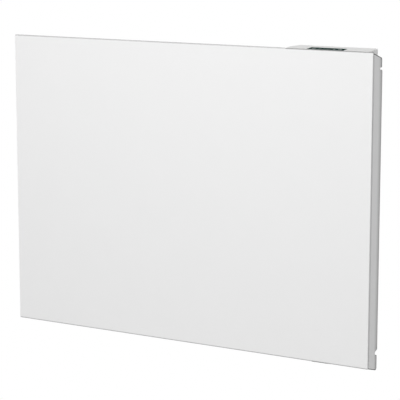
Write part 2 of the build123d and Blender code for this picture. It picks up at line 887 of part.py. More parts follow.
def make_box_screws():
    """Pan-head screws from behind into the control box."""
    with BuildPart() as box_screws:
        for x, height in box_screw_places():
            post(x, height, (well_rear - 1.0, body_depth), rivet_radius)
            post(x, height, (body_depth, body_depth + 1.8), 3.0)
            cross = (body_depth + 0.9, body_depth + 2)
            slab((x - 1.6, x + 1.6), cross, (height - 0.3, height + 0.3), mode=Mode.SUBTRACT)
            slab((x - 0.3, x + 0.3), cross, (height - 1.6, height + 1.6), mode=Mode.SUBTRACT)
    write(box_screws, "box_screws")


def make_main_board():
    """Upright circuit board with its screw holes."""
    width, height = main_board_size
    middle = main_board_middle()
    with BuildPart() as main_board:
        slab(
            (well_centre - width / 2, well_centre + width / 2),
            (main_board_depth, main_board_depth + board_thickness),
            (middle - height / 2, middle + height / 2),
        )
        for x, place in board_screw_places():
            depths = (main_board_depth - 1, main_board_depth + board_thickness + 1)
            post(x, place, depths, 1.0 + 2 * hole_gap, mode=Mode.SUBTRACT)
    write(main_board, "main_board")


def make_board_screws():
    with BuildPart() as board_screws:
        for x, height in board_screw_places():
            post(x, height, (main_board_depth, well_rear - 1.0), 1.0)
            post(x, height, (main_board_depth - 1.4, main_board_depth), 1.9)
    write(board_screws, "board_screws")


def board_block(name, across, up, size, rounding):
    """A part on the front of the main board; size is width, thickness and height."""
    x, height = well_centre + across, main_board_middle() + up
    with BuildPart() as component:
        slab(
            (x - size[0] / 2, x + size[0] / 2),
            (main_board_depth - size[1], main_board_depth),
            (height - size[2] / 2, height + size[2] / 2),
        )
        fillet(component.edges().filter_by(Axis.Y), radius=rounding)
    write(component, name)


def make_board_capacitors():
    with BuildPart() as board_capacitors:
        x = well_centre + main_board_size[0] / 2 - capacitor_inset
        for up in (1.5, 12.0):
            depths = (main_board_depth - 11, main_board_depth)
            post(x, main_board_middle() + up, depths, capacitor_radius)
    write(board_capacitors, "board_capacitors")


def make_display_board():
    """Flat board under the window that carries the display and the touch pads."""
    middle = box_right - window_right_inset - window_width / 2
    width, length = display_board_size
    with BuildPart() as display_board:
        slab(
            (middle - width / 2, middle + width / 2),
            (window_centre_depth - length / 2, window_centre_depth + length / 2),
            (display_board_height, display_board_height + board_thickness),
        )
    write(display_board, "display_board")


def make_display_module():
    """Digit display, in a shallow frame that stands up to the window."""
    middle = box_right - window_right_inset - window_width / 2
    width, length, height = display_size
    base = display_board_height + board_thickness
    under_glass = cover_top(window_centre_depth - length / 2) - window_thickness - fit_gap
    with BuildPart() as display_module:
        slab(
            (middle - width / 2, middle + width / 2),
            (window_centre_depth - length / 2, window_centre_depth + length / 2),
            (base, under_glass),
        )
        slab(
            (middle - width / 2 + 1.5, middle + width / 2 - 1.5),
            (window_centre_depth - length / 2 + 1.5, window_centre_depth + length / 2 - 1.5),
            (base + height, under_glass + 1),
            mode=Mode.SUBTRACT,
        )
    write(display_module, "display_module")


# --- mains switch, gland and terminal block ------------------------------------------------------
def switch_plane():
    return slope_plane(switch_x, switch_depth, inlet_height(switch_depth), -1)


def gland_plane():
    """On the bottom sheet's rear flange, facing the wall."""
    origin = (gland_x, y_at(ear_depth), z_at(gland_height))
    return Plane(origin=origin, x_dir=(1, 0, 0), z_dir=(0, 1, 0))


def switch_body_size():
    """Outline of the switch body that passes through the sheet."""
    room = 2 * (rocker_gap + switch_wall)
    return (rocker_length + room, rocker_width + room)


def make_mains_switch():
    """Switch body with its bezel and an open seat for the rocker."""
    plane = switch_plane()
    width, length = switch_body_size()
    seat = (rocker_length + 2 * rocker_gap, rocker_width + 2 * rocker_gap)
    with BuildPart() as mains_switch:
        with BuildSketch(plane):
            RectangleRounded(width, length, 0.8)
        extrude(amount=-switch_body_depth)
        with BuildSketch(plane):
            RectangleRounded(width + 2.4, length + 2.4, 1.6)
        extrude(amount=switch_flange)
        with BuildSketch(plane.offset(switch_flange)):
            Rectangle(*seat)
        extrude(amount=-switch_flange - switch_seat, mode=Mode.SUBTRACT)
        pin_line = plane.offset(-rocker_pivot_depth + switch_flange)
        bore = Plane(origin=pin_line.origin, x_dir=pin_line.x_dir, z_dir=pin_line.y_dir)
        with BuildSketch(bore):
            Circle(rocker_pin_radius + rocker_pin_gap)
        extrude(amount=rocker_width / 2 + rocker_gap + switch_wall * 0.75, both=True, mode=Mode.SUBTRACT)
    write(mains_switch, "mains_switch")


def make_switch_tabs():
    """Two flat terminals on the back of the switch."""
    plane = switch_plane().offset(-switch_body_depth)
    with BuildPart() as switch_tabs:
        with BuildSketch(plane):
            with Locations((-4.5, 0), (4.5, 0)):
                Rectangle(0.8, 4.8)
        extrude(amount=-6.5)
    write(switch_tabs, "switch_tabs")


def make_switch_rocker():
    """Rocker on two short pins, at rest with its left end pressed in."""
    flat = switch_plane().offset(switch_flange - rocker_pivot_depth)
    lean = radians(rocker_rest)
    along = flat.x_dir * cos(lean) + flat.z_dir * sin(lean)
    seat = Plane(origin=flat.origin, x_dir=along, z_dir=flat.y_dir)
    half = rocker_length / 2
    # In the seat plane, minus y points out of the switch.
    with BuildPart() as switch_rocker:
        with BuildSketch(seat.offset(-rocker_width / 2)):
            with BuildLine():
                skirt = rocker_root / 2
                sides = [(-half, -rocker_face), (-half, skirt), (-half / 3, rocker_root)]
                Polyline(*sides, *((-x, y) for x, y in reversed(sides)))
                ThreePointArc(sides[0], (0, rocker_dish - rocker_face), (half, -rocker_face))
            make_face()
        extrude(amount=rocker_width)
        with BuildSketch(seat):
            Circle(rocker_pin_radius)
        extrude(amount=rocker_width / 2 + rocker_gap + switch_wall * 0.6, both=True)
    write(switch_rocker, "switch_rocker")


def make_cable_gland():
    """Round gland for the supply cord: a head outside, a thread and a bore right through."""
    plane = gland_plane()
    with BuildPart() as cable_gland:
        with BuildSketch(plane):
            Circle(gland_head_radius)
        extrude(amount=gland_head)
        chamfer(cable_gland.faces().sort_by(Axis.Y)[-1].edges(), length=1.2)
        with BuildSketch(plane):
            Circle(gland_thread_radius)
        extrude(amount=-gland_inside)
        with BuildSketch(plane.offset(gland_head + 1)):
            Circle(gland_bore_radius)
        extrude(amount=-gland_head - gland_inside - 2, mode=Mode.SUBTRACT)
    write(cable_gland, "cable_gland")


def make_gland_nut():
    plane = gland_plane().offset(-grille_sheet)
    with BuildPart() as gland_nut:
        with BuildSketch(plane):
            RegularPolygon(nut_radius, 6)
            Circle(gland_thread_radius + 0.05, mode=Mode.SUBTRACT)
        extrude(amount=-nut_thickness)
    write(gland_nut, "gland_nut")


def block_left():
    return wall_inner - 14.0 - block_size[0]


def block_ways():
    """Sideways places of the terminal block's three ways: live, neutral, earth."""
    pitch = block_size[0] / 3
    return [block_left() + pitch * (way + 0.5) for way in range(3)]


def make_terminal_block():
    """Three-way block on the casing's back, with wire holes from below and above."""
    width, depth, height = block_size
    with BuildPart() as terminal_block:
        heights = (block_low, block_low + height)
        slab((block_left(), block_left() + width), (back_inner - depth, back_inner), heights)
        fillet(terminal_block.edges().filter_by(Axis.Y), radius=1.2)
        for x in block_ways():
            with Locations((x, y_at(back_inner - 5), z_at(block_low + height / 2))):
                Cylinder(1.9, height + 2, mode=Mode.SUBTRACT)
            for rise in (4.5, height - 4.5):
                front = (back_inner - depth - 1, back_inner - 5)
                post(x, block_low + rise, front, 2.2, mode=Mode.SUBTRACT)
    write(terminal_block, "terminal_block")


def make_block_screws():
    height = block_size[2]
    front = back_inner - block_size[1] + 0.8
    with BuildPart() as block_screws:
        for x in block_ways():
            for rise in (4.5, height - 4.5):
                post(x, block_low + rise, (front, front + 3.0), 2.05)
                place = block_low + rise
                slot = (front - 1, front + 0.7)
                slab((x - 3, x + 3), slot, (place - 0.3, place + 0.3), mode=Mode.SUBTRACT)
    write(block_screws, "block_screws")


# --- wiring --------------------------------------------------------------------------------------
lead_depth = main_board_depth - connector_size[1] / 2
lead_turn = 4.0
cutout_lead_depth = cutout_face - cutout_tab - wire_radius - 0.1


def box_lead_x():
    """Sideways places of the four leads that enter the control box from below."""
    return [well_right - 12 - 7 * lead for lead in range(4)]


def make_lead(name, points, radius=wire_radius):
    """A round wire through places given as sideways, depth and height."""
    places = [(x, y_at(depth), z_at(height)) for x, depth, height in points]
    with BuildPart() as lead:
        with BuildLine() as path:
            FilletPolyline(*places, radius=lead_turn)
        with BuildSketch(Plane(origin=path.line @ 0, z_dir=path.line % 0)):
            Circle(radius)
        sweep(path=path.line)
    write(lead, name)


def make_leads():
    live, neutral, _ = block_ways()
    block_top = block_low + block_size[2]
    block_depth = back_inner - 5
    inside = main_board_middle() + connector_up - connector_size[2] / 2
    first, second, third, fourth = box_lead_x()
    tab_height = inlet_height(switch_depth) + (switch_body_depth + 6.5) * cos(radians(slope_angle))
    tab_depth = switch_depth + (switch_body_depth + 6.5) * sin(radians(slope_angle))
    make_lead(
        "switch_feed_lead",
        [
            (live, block_depth, block_top - 6),
            (live, block_depth, block_top + 14),
            (switch_x + 14, block_depth, block_top + 14),
            (switch_x + 14, tab_depth, block_top - 4),
            (switch_x + 4.5, tab_depth, block_top - 12),
            (switch_x + 4.5, tab_depth, tab_height + 0.5),
        ],
    )
    make_lead(
        "switched_live_lead",
        [
            (switch_x - 4.5, tab_depth, tab_height + 0.5),
            (switch_x - 4.5, tab_depth, tab_height + 8),
            (switch_x - 4.5, element_depth, tab_height + 18),
            (fins_right + 30, element_depth, element_height - 2),
            (fins_right + 30, element_depth, element_height + 34),
            (second, lead_depth, 180.0),
            (second, lead_depth, inside),
        ],
    )
    make_lead(
        "neutral_lead",
        [
            (neutral, block_depth, block_top - 6),
            (neutral, block_depth, block_top + 30),
            (first, lead_depth, 190.0),
            (first, lead_depth, inside),
        ],
    )
    ring = element_ends()[1][0] + bush_length + 2 + 1.3
    make_lead(
        "element_lead_right",
        [
            (third, lead_depth, inside),
            (third, lead_depth, 170.0),
            (ring, element_depth, 125.0),
            (ring, element_depth, element_height + terminal_radius + 0.1),
        ],
    )
    ring = element_ends()[0][0] - bush_length - 2 - 1.3
    make_lead(
        "element_lead_left",
        [
            (cutout_x - 3.4, cutout_lead_depth, cutout_height + 3.1),
            (cutout_x - 3.4, cutout_lead_depth, cutout_height + 16),
            (cutout_x - 50, shield_depth - 7, cutout_height + 24),
            (ring + 30, shield_depth - 7, cutout_height + 24),
            (ring, element_depth, cutout_height),
            (ring, element_depth, element_height + terminal_radius + 0.1),
        ],
    )
    make_lead(
        "cutout_lead",
        [
            (fourth, lead_depth, inside),
            (fourth, lead_depth, 200.0),
            (cutout_x + 3.4, cutout_lead_depth, 170.0),
            (cutout_x + 3.4, cutout_lead_depth, cutout_height + 3.1),
        ],
    )


# --- wall bracket --------------------------------------------------------------------------------
def bracket_strip(x, width, points, hand):
    """A bent strip of the bracket's sheet, seen from the right."""
    with BuildSketch(Plane.YZ.offset(x - width / 2)) as strip:
        with BuildLine():
            FilletPolyline(*(side_point(*point) for point in points), radius=0.4)
            offset(amount=bracket_sheet, side=hand)
        make_face()
    return strip.sketch


def make_wall_bracket():
    """Two channel uprights with hooks below and tongues above, joined by two flat bars."""
    low = hook_height - 9
    high = tongue_height + 12
    back = wall_depth - bracket_sheet
    with BuildPart() as wall_bracket:
        for x in (-upright_x, upright_x):
            slab((x - upright_width / 2, x + upright_width / 2), (back, wall_depth), (low, high))
            for side in (-1, 1):
                outer = x + side * upright_width / 2
                across = sorted((outer, outer - side * bracket_sheet))
                with BuildSketch(Plane.YZ.offset(across[0])):
                    with BuildLine():
                        FilletPolyline(
                            side_point(wall_depth, low),
                            side_point(wall_depth, high),
                            side_point(wall_depth - 14, high),
                            side_point(web_front, tongue_height - 8),
                            side_point(web_front, hook_height + 14),
                            side_point(wall_depth - 14, low),
                            radius=[0.5, 0.5, 5, 5, 5, 5],
                            close=True,
                        )
                    make_face()
                extrude(amount=bracket_sheet)
            top = hook_height - hook_gap
            hook = [
                (wall_depth - 0.5, top),
                (hook_lip_depth + bracket_sheet, top),
                (hook_lip_depth + bracket_sheet, hook_height + hook_lip),
            ]
            extrude(bracket_strip(x, hook_width, hook, Side.LEFT), amount=hook_width)
            tongue = (tongue_height - bracket_sheet, tongue_height)
            half = tongue_width / 2
            slab((x - half, x + half), (tongue_tip, wall_depth - 0.5), tongue)
            # Gussets carry the hook and the tongue between the channel's webs.
            for side in (-1, 1):
                inner = x + side * (upright_width / 2 - bracket_sheet)
                for shelf, edge in ((hook_width / 2, top - bracket_sheet), (half, tongue[0])):
                    across = sorted((inner, x + side * (shelf - 1)))
                    slab(across, (wall_depth - 20, wall_depth - 0.5), (edge, edge + bracket_sheet))
        for height in screw_heights:
            heights = (height - bar_width / 2, height + bar_width / 2)
            slab((-upright_x, upright_x), (back, wall_depth), heights)
            for x in (-upright_x, upright_x):
                post(x, height, (back - 1, wall_depth + 1), screw_hole_radius, mode=Mode.SUBTRACT)
        for x in (-upright_x, upright_x):
            with Locations((x, y_at(wall_depth - 12), z_at(tongue_height))):
                Cylinder(1.5 + hole_gap, 4 * bracket_sheet, mode=Mode.SUBTRACT)
    write(wall_bracket, "wall_bracket")


def make_spring_clip(name, x):
    """Leaf spring on a tongue, whose hump grips the casing's upper slot."""
    with BuildPart() as spring_clip:
        with BuildSketch(Plane.YZ.offset(x - clip_width / 2)):
            with BuildLine():
                FilletPolyline(
                    side_point(wall_depth - 6, tongue_height),
                    side_point(body_depth + 7, tongue_height),
                    side_point(body_depth - 0.5, tongue_height + 3.6),
                    side_point(body_depth - 5.5, tongue_height + 0.9),
                    radius=2.0,
                )
                offset(amount=clip_sheet, side=Side.RIGHT)
            make_face()
        extrude(amount=clip_width)
        with Locations((x, y_at(wall_depth - 12), z_at(tongue_height))):
            Cylinder(1.5 + hole_gap, 4, mode=Mode.SUBTRACT)
    write(spring_clip, name)


def make_clip_rivets():
    with BuildPart() as clip_rivets:
        for x in (-upright_x, upright_x):
            low, high = tongue_height - bracket_sheet, tongue_height + clip_sheet
            with Locations((x, y_at(wall_depth - 12), z_at((low + high) / 2))):
                Cylinder(1.5, high - low)
            for face, way in ((low, -1), (high, 1)):
                with Locations((x, y_at(wall_depth - 12), z_at(face + way * rivet_head / 2))):
                    Cylinder(2.8, rivet_head)
    write(clip_rivets, "clip_rivets")


def make_bracket_pads():
    """Rubber buffers on the webs' front edges, behind the casing."""
    width, height = pad_size
    with BuildPart() as bracket_pads:
        for x in (-upright_x, upright_x):
            for side in (-1, 1):
                web = x + side * (upright_width / 2 - bracket_sheet / 2)
                for low in (hook_height + 45, tongue_height - 50):
                    slab(
                        (web - width / 2, web + width / 2),
                        (body_depth + pad_gap, web_front),
                        (low, low + height),
                    )
        fillet(bracket_pads.edges().filter_by(Axis.Y), radius=1.5)
    write(bracket_pads, "bracket_pads")


os.makedirs("parts", exist_ok=True)
make_front_panel()
make_panel_clips()
make_rear_casing()
make_outlet_grille()
make_inlet_grille()
make_heat_shield()
make_shield_spacers()
make_shield_rivets()
make_element_fins()
make_element_core()
for end_name, (end_start, end_way) in zip(("left", "right"), element_ends()):
    make_element_bush(f"element_bush_{end_name}", end_start, end_way)
    make_element_holder(f"element_holder_{end_name}", end_start, end_way)
make_holder_rivets()
make_element_nuts()
make_cutout_bracket()
make_overheat_cutout()
make_sensor_clip()
make_room_sensor()
make_control_housing()
make_control_cover()
make_display_window()
make_display_board()
make_display_module()
make_box_screws()
make_main_board()
make_board_screws()
board_half = main_board_size[0] / 2
relay_across = relay_inset - board_half
transformer_across = relay_across + (relay_size[0] + transformer_size[0]) / 2 + 4.5
board_block("mains_relay", relay_across, 0.0, relay_size, 0.8)
board_block("supply_transformer", transformer_across, 4.0, transformer_size, 1.5)
board_block("lead_connector", board_half - connector_inset, connector_up, connector_size, 0.5)
make_board_capacitors()
make_mains_switch()
make_switch_tabs()
make_switch_rocker()
make_cable_gland()
make_gland_nut()
make_terminal_block()
make_block_screws()
make_leads()
make_wall_bracket()
make_spring_clip("spring_clip_left", -upright_x)
make_spring_clip("spring_clip_right", upright_x)
make_clip_rivets()
make_bracket_pads()
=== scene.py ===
from math import cos, radians, sin

import bmesh
import bpy
from mathutils import Matrix, Vector


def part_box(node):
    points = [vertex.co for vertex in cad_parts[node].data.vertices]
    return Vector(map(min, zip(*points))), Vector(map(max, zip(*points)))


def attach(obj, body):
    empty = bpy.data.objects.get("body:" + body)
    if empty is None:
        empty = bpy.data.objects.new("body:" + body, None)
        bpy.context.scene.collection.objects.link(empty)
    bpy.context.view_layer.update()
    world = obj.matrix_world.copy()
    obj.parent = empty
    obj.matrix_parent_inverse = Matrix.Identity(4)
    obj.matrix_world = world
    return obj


# A slim white wall panel heater on its bracket, in metres, in the frame of the built parts: X to
# the right, Y towards the wall, Z up, and the wall at Y = 0.

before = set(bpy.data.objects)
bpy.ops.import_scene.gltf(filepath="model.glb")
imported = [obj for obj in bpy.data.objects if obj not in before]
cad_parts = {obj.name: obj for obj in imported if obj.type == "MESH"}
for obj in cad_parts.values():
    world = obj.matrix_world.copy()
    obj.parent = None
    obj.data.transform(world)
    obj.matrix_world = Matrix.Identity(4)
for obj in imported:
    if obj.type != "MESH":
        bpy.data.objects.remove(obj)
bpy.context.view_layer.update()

# --- picture -------------------------------------------------------------------------------------
VIEW_AZIMUTH = 30.28  # degrees to the right of straight on
VIEW_ELEVATION = 10.12
CAMERA_PLACE = (1.1198, -1.9335, 0.38265)
CAMERA_LENS = 151.5  # mm
CAMERA_FRAME = 36.0  # mm, its width

# --- room and lamps ------------------------------------------------------------------------------
FLOOR_HEIGHT = -3.2
FLOOR_REACH = 90.0
FLOOR_GREY = 0.72
SURROUND = 0.49  # mean brightness of the room round the heater
SURROUND_LEAN = (0.31, -0.43, 0.155)  # brighter in front, to the right and above
SURROUND_LEAST = 0.02
KEY_PLACE = (0.10, -1.26, 0.80)
KEY_TARGET = (0, -0.06, 0)
KEY_SIZE = 0.9
KEY_POWER = 9.3
BACK_PLACE = (0.0, 1.70, -0.10)  # behind and below the top, so that it reaches the back alone
BACK_TARGET = (0, 0, 0)
BACK_POWER = 6.0
TOP_PLACE = (0.15, 0.40, 1.05)  # behind the front's plane, so that it reaches the tops alone
TOP_TARGET = (0.15, -0.04, 0.2)
TOP_SIZE = 0.4
TOP_POWER = 1.7

# --- real sizes of surface detail ----------------------------------------------------------------
MM = 0.001
PAINT_MOTTLE = 38 * MM
ORANGE_PEEL = 1.3 * MM
PEEL_DEPTH = 0.006 * MM
SPARK_GRAIN = 0.35 * MM
SPARK_DEPTH = 0.012 * MM
INK_THICKNESS = 0.02 * MM
INK_STROKE = 0.45 * MM

# --- printed marks: places and sizes -------------------------------------------------------------
FACE_ORDER = Vector((1.0, 7.0, 31.0))  # a slanting direction to sort a mark's faces by
OUTER_KEY = 18 * MM  # from the window's middle
INNER_KEY = 10 * MM
DIGIT_PLACE = 2.9 * MM
RING_RADIUS = 1.8 * MM
SIGN_WIDTH = 3.4 * MM
ROCKER_MARK_PLACE = 4.3 * MM  # from the rocker's middle
OFF_RADIUS = 1.5 * MM
ON_LENGTH = 3.2 * MM
UNDERSIDE_SLOPE = 16.5  # degrees


def set_camera():
    """The photograph's viewpoint."""
    azimuth, elevation = radians(VIEW_AZIMUTH), radians(VIEW_ELEVATION)
    back = Vector((sin(azimuth) * cos(elevation), -cos(azimuth) * cos(elevation), sin(elevation)))
    camera = bpy.data.objects.new("camera", bpy.data.cameras.new("camera"))
    camera.data.sensor_width = CAMERA_FRAME
    camera.data.lens = CAMERA_LENS
    camera.location = CAMERA_PLACE
    camera.rotation_mode = "QUATERNION"
    camera.rotation_quaternion = (-back).to_track_quat("-Z", "Y")
    bpy.context.collection.objects.link(camera)
    bpy.context.scene.camera = camera


# --- node helpers --------------------------------------------------------------------------------
def grey(level):
    """A neutral colour."""
    return (level, level, level)


def add_node(tree, kind, **settings):
    """A shader node with its settings and unlinked sockets filled in."""
    node = tree.nodes.new("ShaderNode" + kind)
    for name, value in settings.items():
        socket = node.inputs.get(name.replace("_", " "))
        if socket is None:
            setattr(node, name, value)
        else:
            socket.default_value = value
    return node


def math_node(tree, operation, first, second):
    """A Math node between two values, of which either may be a socket."""
    node = add_node(tree, "Math", operation=operation)
    for slot, value in enumerate((first, second)):
        if isinstance(value, bpy.types.NodeSocket):
            tree.links.new(value, node.inputs[slot])
        else:
            node.inputs[slot].default_value = value
    return node.outputs[0]


# --- studio --------------------------------------------------------------------------------------
def light_surroundings():
    """A soft white room: it shows plain white, and lights the heater most from the front."""
    world = bpy.data.worlds.new("studio")
    bpy.context.scene.world = world
    world.use_nodes = True
    tree = world.node_tree
    tree.nodes.clear()
    direction = add_node(tree, "TexCoord").outputs["Generated"]
    lean = add_node(tree, "VectorMath", operation="DOT_PRODUCT")
    tree.links.new(direction, lean.inputs[0])
    lean.inputs[1].default_value = SURROUND_LEAN
    level = math_node(tree, "ADD", lean.outputs["Value"], SURROUND)
    level = math_node(tree, "MAXIMUM", level, SURROUND_LEAST)
    room = add_node(tree, "Background", Color=(1, 1, 1, 1))
    tree.links.new(level, room.inputs["Strength"])
    plain = add_node(tree, "Background", Color=(1, 1, 1, 1), Strength=1.0)
    mix = add_node(tree, "MixShader")
    seen = add_node(tree, "LightPath").outputs["Is Camera Ray"]
    tree.links.new(seen, mix.inputs[0])
    tree.links.new(room.outputs[0], mix.inputs[1])
    tree.links.new(plain.outputs[0], mix.inputs[2])
    tree.links.new(mix.outputs[0], add_node(tree, "OutputWorld").inputs["Surface"])


def add_softbox(name, place, target, size, power):
    """A square soft lamp that points at a place."""
    lamp = bpy.data.objects.new(name, bpy.data.lights.new(name, "AREA"))
    lamp.data.size = size
    lamp.data.energy = power
    lamp.location = place
    lamp.rotation_mode = "QUATERNION"
    lamp.rotation_quaternion = (Vector(target) - Vector(place)).to_track_quat("-Z", "Y")
    bpy.context.collection.objects.link(lamp)


def lay_floor():
    """Plain white floor, well below the hanging heater."""
    shape = bmesh.new()
    bmesh.ops.create_grid(shape, x_segments=1, y_segments=1, size=FLOOR_REACH)
    bmesh.ops.translate(shape, verts=shape.verts, vec=(0, 0, FLOOR_HEIGHT))
    floor = finish_mesh(shape, "floor")
    paint = bpy.data.materials.new("floor_white")
    paint.use_nodes = True
    tree = paint.node_tree
    tree.nodes.clear()
    matt = add_node(tree, "BsdfDiffuse", Color=(*grey(FLOOR_GREY), 1))
    glow = add_node(tree, "Emission", Color=(1, 1, 1, 1), Strength=1.0)
    mix = add_node(tree, "MixShader")
    tree.links.new(add_node(tree, "LightPath").outputs["Is Camera Ray"], mix.inputs[0])
    tree.links.new(matt.outputs[0], mix.inputs[1])
    tree.links.new(glow.outputs[0], mix.inputs[2])
    tree.links.new(mix.outputs[0], add_node(tree, "OutputMaterial").inputs["Surface"])
    floor.data.materials.append(paint)


# --- meshes --------------------------------------------------------------------------------------
def finish_mesh(shape, name):
    """Turns a bmesh into a linked object at the origin."""
    mesh = bpy.data.meshes.new(name)
    shape.to_mesh(mesh)
    shape.free()
    piece = bpy.data.objects.new(name, mesh)
    bpy.context.collection.objects.link(piece)
    return piece


# --- finishes ------------------------------------------------------------------------------------
class Finish:
    """One finish: a Principled surface with patterns on the piece's own Object coordinates."""

    def __init__(self, name, colour, roughness, **sockets):
        self.material = bpy.data.materials.new(name)
        self.material.use_nodes = True
        self.tree = self.material.node_tree
        self.shader = self.tree.nodes["Principled BSDF"]
        self.colour = colour
        self.roughness = roughness
        self.shader.inputs["Base Color"].default_value = (*colour, 1)
        self.shader.inputs["Roughness"].default_value = roughness
        for socket, value in sockets.items():
            self.shader.inputs[socket.replace("_", " ")].default_value = value
        self.places = add_node(self.tree, "TexCoord")

    def stretched(self, stretch):
        """Object coordinates, drawn out along an axis."""
        mapping = add_node(self.tree, "Mapping", Scale=stretch)
        self.tree.links.new(self.places.outputs["Object"], mapping.inputs["Vector"])
        return mapping.outputs["Vector"]

    def noise(self, size, detail=2.0, stretch=(1, 1, 1)):
        """Soft random pattern with features of about this size."""
        node = add_node(self.tree, "TexNoise", Scale=1 / size, Detail=detail)
        self.tree.links.new(self.stretched(stretch), node.inputs["Vector"])
        return node.outputs["Fac"]

    def cells(self, size, stretch=(1, 1, 1), output="Color"):
        """Random cells of about this size."""
        node = add_node(self.tree, "TexVoronoi", Scale=1 / size)
        self.tree.links.new(self.stretched(stretch), node.inputs["Vector"])
        return node.outputs[output]

    def remap(self, value, low, high, from_low=0.0, from_high=1.0):
        """A value carried over from one range to another, and held inside it."""
        node = add_node(self.tree, "MapRange")
        for slot, limit in zip((1, 2, 3, 4), (from_low, from_high, low, high)):
            node.inputs[slot].default_value = limit
        self.tree.links.new(value, node.inputs[0])
        return node.outputs[0]

    def mix_colours(self, value, first, second):
        """Colour between two colours, of which either may be a socket."""
        node = add_node(self.tree, "Mix", data_type="RGBA")
        self.tree.links.new(value, node.inputs[0])
        for slot, colour in ((6, first), (7, second)):
            if isinstance(colour, bpy.types.NodeSocket):
                self.tree.links.new(colour, node.inputs[slot])
            else:
                node.inputs[slot].default_value = (*colour, 1)
        return node.outputs[2]

    def paint(self, colour):
        """Takes a socket as the colour, and keeps it for the next coat to start from."""
        self.painted = colour
        self.tree.links.new(colour, self.shader.inputs["Base Color"])

    def vary_colour(self, value, spread):
        """Lightens and darkens the base colour by a small share."""
        darker = tuple(channel * (1 - spread) for channel in self.colour)
        lighter = tuple(min(1, channel * (1 + spread)) for channel in self.colour)
        self.paint(self.mix_colours(value, darker, lighter))

    def vary_roughness(self, value, spread):
        rough = self.remap(value, self.roughness - spread, self.roughness + spread)
        self.tree.links.new(rough, self.shader.inputs["Roughness"])

    def raise_grain(self, value, depth):
        """Relief of this depth, in metres."""
        bump = add_node(self.tree, "Bump", Strength=1.0, Distance=depth)
        self.tree.links.new(value, bump.inputs["Height"])
        self.tree.links.new(bump.outputs["Normal"], self.shader.inputs["Normal"])

    def facing(self, axis):
        """How much a surface faces along an axis of its piece, either way, from 0 to 1."""
        parts = add_node(self.tree, "SeparateXYZ")
        self.tree.links.new(self.places.outputs["Normal"], parts.inputs[0])
        return math_node(self.tree, "ABSOLUTE", parts.outputs[axis], 0.0)

    def place(self, axis):
        """Where a point lies along an axis, in metres."""
        parts = add_node(self.tree, "SeparateXYZ")
        self.tree.links.new(self.places.outputs["Object"], parts.inputs[0])
        return parts.outputs[axis]


def powder_coat(name, colour, roughness=0.42, mottle=0.008, mottle_detail=3.0):
    """Stoved powder paint: fine orange peel and a trace of uneven thickness."""
    coat = Finish(name, colour, roughness, Specular_IOR_Level=0.45)
    coat.vary_colour(coat.noise(PAINT_MOTTLE, detail=mottle_detail), mottle)
    coat.vary_roughness(coat.noise(5 * MM, detail=3.0), 0.05)
    coat.raise_grain(coat.noise(ORANGE_PEEL, detail=2.0), PEEL_DEPTH)
    return coat


def make_white_paint():
    """White paint with painted shade: greyer over the rounded top and bottom edges, darkest as a
    painted shadow line where the top is cut down before the control box, and greyer on the sides'
    turned ends for the shadow gap behind them."""
    coat = powder_coat("white_paint", grey(0.86), roughness=0.38)
    box_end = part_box("control_cover")[0].x
    at_box = coat.remap(coat.place(0), 0.0, 1.0, box_end, box_end + 3 * MM)
    at_top = coat.remap(coat.place(2), 0.0, 1.0, -0.1, 0.1)
    cut = math_node(coat.tree, "MULTIPLY", at_box, at_top)
    # Painted shade: the rounded top and bottom edges greyer, and a painted shadow line where the
    # top is cut down before the control box.
    edge = coat.mix_colours(cut, grey(0.53), grey(0.30))
    painted_shade = coat.remap(coat.facing(2), 0.0, 1.0, 0.04, 0.46)
    coat.paint(coat.mix_colours(painted_shade, coat.painted, edge))
    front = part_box("front_panel")[0].y
    # Painted shade: the sides' turned ends greyer, standing for the shadow gap between panel and
    # casing.
    turned = coat.remap(coat.place(1), 0.0, 1.0, front + 0.8 * MM, front + 1.8 * MM)
    on_side = coat.remap(coat.facing(0), 0.0, 1.0, 0.6, 0.9)
    painted_shade = math_node(coat.tree, "MULTIPLY", turned, on_side)
    coat.paint(coat.mix_colours(painted_shade, coat.painted, grey(0.62)))
    return coat


def make_casing_paint():
    """The side walls' paint, with painted shade: greyer towards their front and rear folds, and
    most on the corner ears.
    """
    coat = powder_coat("casing_paint", grey(0.83), roughness=0.5)
    low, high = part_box("rear_casing")
    on_side = coat.remap(coat.facing(0), 0.0, 1.0, 0.1, 0.6)
    # Painted shade: greyer at the front fold, for the shadow gap behind the panel's turned ends.
    front_fold = coat.remap(coat.place(1), 1.0, 0.0, low.y + 0.4 * MM, low.y + 2.0 * MM)
    painted_shade = math_node(coat.tree, "MULTIPLY", front_fold, on_side)
    coat.paint(coat.mix_colours(painted_shade, coat.painted, grey(0.60)))
    # Painted shade: darker towards the rear fold and most on the corner ears, where the side walls
    # turn from the light.
    rear_fold = coat.remap(coat.place(1), 0.0, 0.95, high.y - 12 * MM, high.y - 1.5 * MM)
    height = math_node(coat.tree, "ABSOLUTE", coat.place(2), 0.0)
    on_ear = coat.remap(height, 1.0, 1.25, high.z - 26 * MM, high.z - 20 * MM)
    painted_shade = math_node(coat.tree, "MULTIPLY", rear_fold, on_side)
    painted_shade = math_node(coat.tree, "MULTIPLY", painted_shade, on_ear)
    coat.paint(coat.mix_colours(painted_shade, coat.painted, grey(0.38)))
    return coat


def make_grille_paint():
    """Grey paint on the sloped sheets, with their cut ends painted near black as painted shade
    along the side walls' edges.
    """
    coat = powder_coat(
        "grille_paint", grey(0.42), roughness=0.5, mottle=0.01, mottle_detail=2.0
    )
    # Painted shade: the sheets' ends, which show as a line above the side walls, painted near
    # black.
    cut = coat.remap(coat.facing(0), 0.0, 1.0, 0.8, 0.95)
    coat.paint(coat.mix_colours(cut, coat.painted, grey(0.06)))
    return coat


def make_bracket_paint():
    return powder_coat("bracket_paint", grey(0.78), roughness=0.5)


